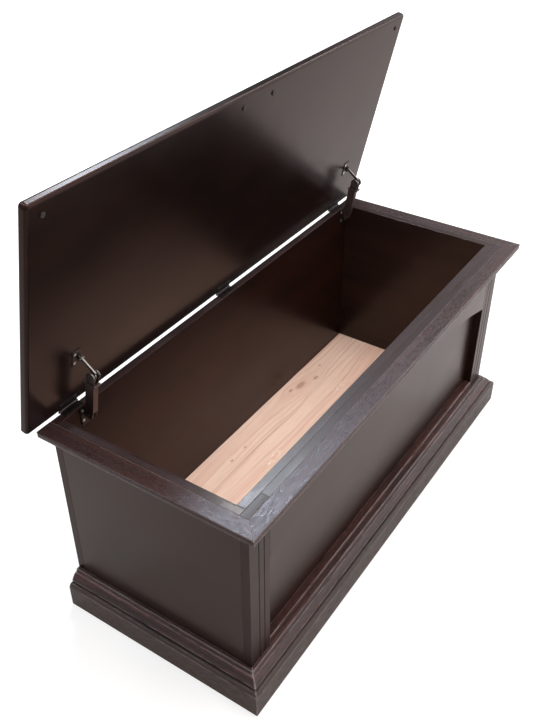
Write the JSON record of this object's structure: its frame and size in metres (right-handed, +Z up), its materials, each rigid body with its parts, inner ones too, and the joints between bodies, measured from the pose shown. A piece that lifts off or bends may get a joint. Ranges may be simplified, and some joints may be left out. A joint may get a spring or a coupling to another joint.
{
  "type": "blanket chest",
  "caption": "Long low wooden chest with a recessed front under an arched rail, stepped plinth, cedar floor and a slab lid held open by folding spring supports.",
  "frame": {"origin": "on the floor, under the middle of the whole chest with its lid open", "axes": "+X along the chest to the right seen from the front, +Y to the back, +Z up"},
  "size_m": [1.22, 0.5119, 0.9975],
  "materials": {
    "bright_screws": "zinc plated",
    "bronze_hinges": "oil-rubbed bronze, satin",
    "bumper_rubber": "matte",
    "cedar": "bare, planed",
    "dark_bronze": "dark bronze, semi-gloss",
    "espresso_wood": "satin lacquer over dark espresso stain",
    "plain_pine": "bare, sawn",
    "spring_steel": "oiled spring steel",
    "zinc_link": "zinc plated"
  },
  "bodies": {
    "chest": {"back_panel": "espresso_wood", "base_cap_front": "espresso_wood", "base_cap_left": "espresso_wood", "base_cap_right": "espresso_wood", "floor_board_1": "cedar", "floor_board_2": "cedar", "floor_board_3": "cedar", "floor_board_4": "cedar", "floor_board_5": "cedar", "floor_cleat_back": "plain_pine", "floor_cleat_front": "plain_pine", "floor_cleat_left": "plain_pine", "floor_cleat_right": "plain_pine", "front_bottom_rail": "espresso_wood", "front_left_stile": "espresso_wood", "front_right_stile": "espresso_wood", "front_top_rail": "espresso_wood", "hinge_left_case_leaf": "bronze_hinges", "hinge_middle_case_leaf": "bronze_hinges", "hinge_pins": "bronze_hinges", "hinge_right_case_leaf": "bronze_hinges", "hinge_screws_in_case": "bright_screws", "inner_front_panel": "espresso_wood", "left_side_panel": "espresso_wood", "plinth_front": "espresso_wood", "plinth_left": "espresso_wood", "plinth_right": "espresso_wood", "right_side_panel": "espresso_wood", "rim_band_front": "espresso_wood", "rim_band_left": "espresso_wood", "rim_band_right": "espresso_wood", "support_left_base_bracket": "dark_bronze", "support_left_base_rivet": "dark_bronze", "support_left_spring": "spring_steel", "support_right_base_bracket": "dark_bronze", "support_right_base_rivet": "dark_bronze", "support_right_spring": "spring_steel", "support_screws_in_back": "bright_screws"},
    "lid": {"hinge_left_lid_leaf": "bronze_hinges", "hinge_middle_lid_leaf": "bronze_hinges", "hinge_right_lid_leaf": "bronze_hinges", "hinge_screws_in_lid": "bright_screws", "lid_bumpers": "bumper_rubber", "lid_panel": "espresso_wood", "support_left_lid_bracket": "dark_bronze", "support_left_lid_rivet": "zinc_link", "support_right_lid_bracket": "dark_bronze", "support_right_lid_rivet": "zinc_link", "support_screws_in_lid": "bright_screws"},
    "left_support_arm": {"support_left_arm": "dark_bronze", "support_left_elbow_rivet": "dark_bronze"},
    "left_support_link": {"support_left_link": "zinc_link"},
    "right_support_arm": {"support_right_arm": "dark_bronze", "support_right_elbow_rivet": "dark_bronze"},
    "right_support_link": {"support_right_link": "zinc_link"}
  },
  "joints": [
    {"name": "lid_hinge", "type": "hinge", "parent": "chest", "child": "lid", "pos_m": [0, 0.23675, 0.4993], "axis": [1, 0, 0], "range_deg": [0, 77]},
    {"name": "left_support_base_pivot", "type": "hinge", "parent": "chest", "child": "left_support_arm", "pos_m": [-0.479, 0.20335, 0.4771], "axis": [1, 0, 0], "range_deg": [0, 86]},
    {"name": "left_support_lid_pivot", "type": "hinge", "parent": "lid", "child": "left_support_link", "pos_m": [-0.479, 0.20617, 0.60996], "axis": [1, 0, 0], "range_deg": [-77, 0]},
    {"name": "right_support_base_pivot", "type": "hinge", "parent": "chest", "child": "right_support_arm", "pos_m": [0.521, 0.20335, 0.4771], "axis": [1, 0, 0], "range_deg": [0, 86]},
    {"name": "right_support_lid_pivot", "type": "hinge", "parent": "lid", "child": "right_support_link", "pos_m": [0.521, 0.20617, 0.60996], "axis": [1, 0, 0], "range_deg": [-77, 0]}
  ],
  "couplings": [
    {"joint": "left_support_base_pivot", "follows": "lid_hinge", "ratio": 1.107},
    {"joint": "left_support_lid_pivot", "follows": "lid_hinge", "ratio": -0.9937},
    {"joint": "right_support_base_pivot", "follows": "lid_hinge", "ratio": 1.107},
    {"joint": "right_support_lid_pivot", "follows": "lid_hinge", "ratio": -0.9937}
  ]
}
